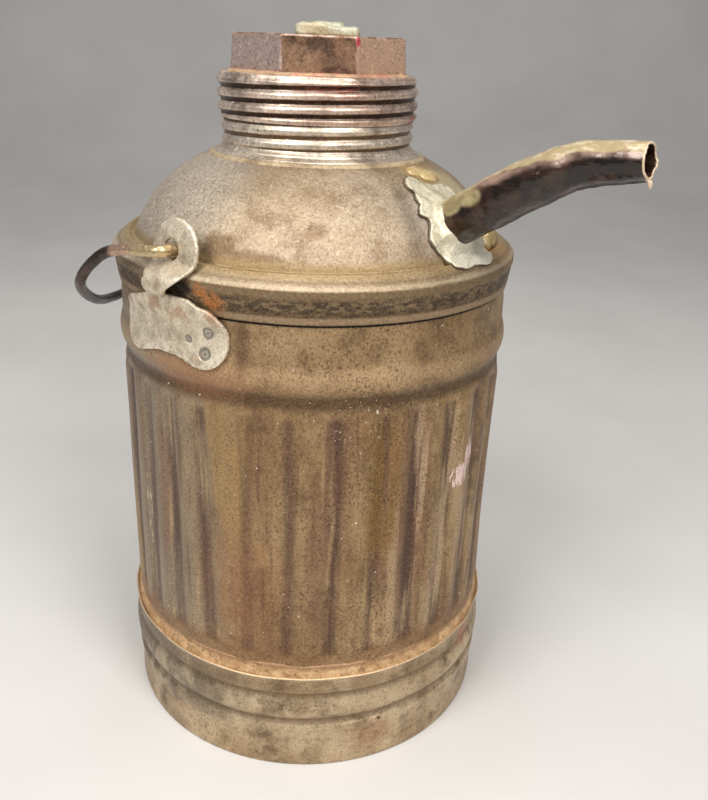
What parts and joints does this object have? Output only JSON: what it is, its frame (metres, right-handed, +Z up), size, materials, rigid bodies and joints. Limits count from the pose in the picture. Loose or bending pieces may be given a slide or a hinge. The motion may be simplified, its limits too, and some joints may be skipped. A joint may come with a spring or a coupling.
{
  "type": "oil can",
  "caption": "Round sheet-metal oil can with a fluted body, domed top, threaded cap with an eight-sided crown, curved tapering spout and folding wire bail.",
  "frame": {"origin": "middle of the base rim, on the surface the can stands on", "axes": "+Z up along the can's axis, +X out over the spout, the bail's pivot parallel to Y"},
  "size_m": [0.2285, 0.1686, 0.2785],
  "materials": {
    "galvanised": "dull grey galvanised sheet with a pale crystalline bloom",
    "stained_tinplate": "aged tin plate, brown and khaki patina with fine dark speckle",
    "cap_steel": "dark brown oxidised steel with bright worn crests",
    "solder": "matt grey solder",
    "amber_sealant": "old amber varnish and sealant over solder",
    "soft_metal": "pale grey-green oxidised lead",
    "black_lacquer": "glossy black-brown lacquer over tinplate",
    "cork": "compressed cork",
    "bail_steel": "bare steel wire, bright at the ends and dark on the loop"
  },
  "bodies": {
    "can": {"lug_left": "galvanised", "lug_right": "galvanised", "body_shell": "stained_tinplate", "dome_top": "stained_tinplate", "base_band": "stained_tinplate", "bottom_plate": "stained_tinplate", "neck_ring": "cap_steel", "base_solder": "solder", "neck_solder": "solder", "spout_patch": "solder", "spout_sealant": "amber_sealant", "foot_solder": "amber_sealant", "spout_tube": "black_lacquer"},
    "cap_lift": {"cap_gasket": "cork"},
    "screw_cap": {"cap_ring": "cap_steel", "cap_crown": "cap_steel", "crown_solder": "solder", "crown_patch": "soft_metal"},
    "bail": {"bail_wire": "bail_steel"}
  },
  "joints": [
    {"name": "cap_rise", "type": "slide", "parent": "can", "child": "cap_lift", "axis": [0, 0, 1], "range_m": [0, 0.0136]},
    {"name": "cap_screw", "type": "hinge", "parent": "cap_lift", "child": "screw_cap", "pos_m": [0, 0, 0.25], "axis": [0, 0, 1], "range_deg": [0, 1080]},
    {"name": "bail_swing", "type": "hinge", "parent": "can", "child": "bail", "pos_m": [0.0024, 0, 0.2068], "axis": [0, 1, 0], "range_deg": [0, 180]}
  ],
  "couplings": [
    {"joint": "cap_rise", "follows": "cap_screw", "m_per_rad": 0.0007162}
  ]
}
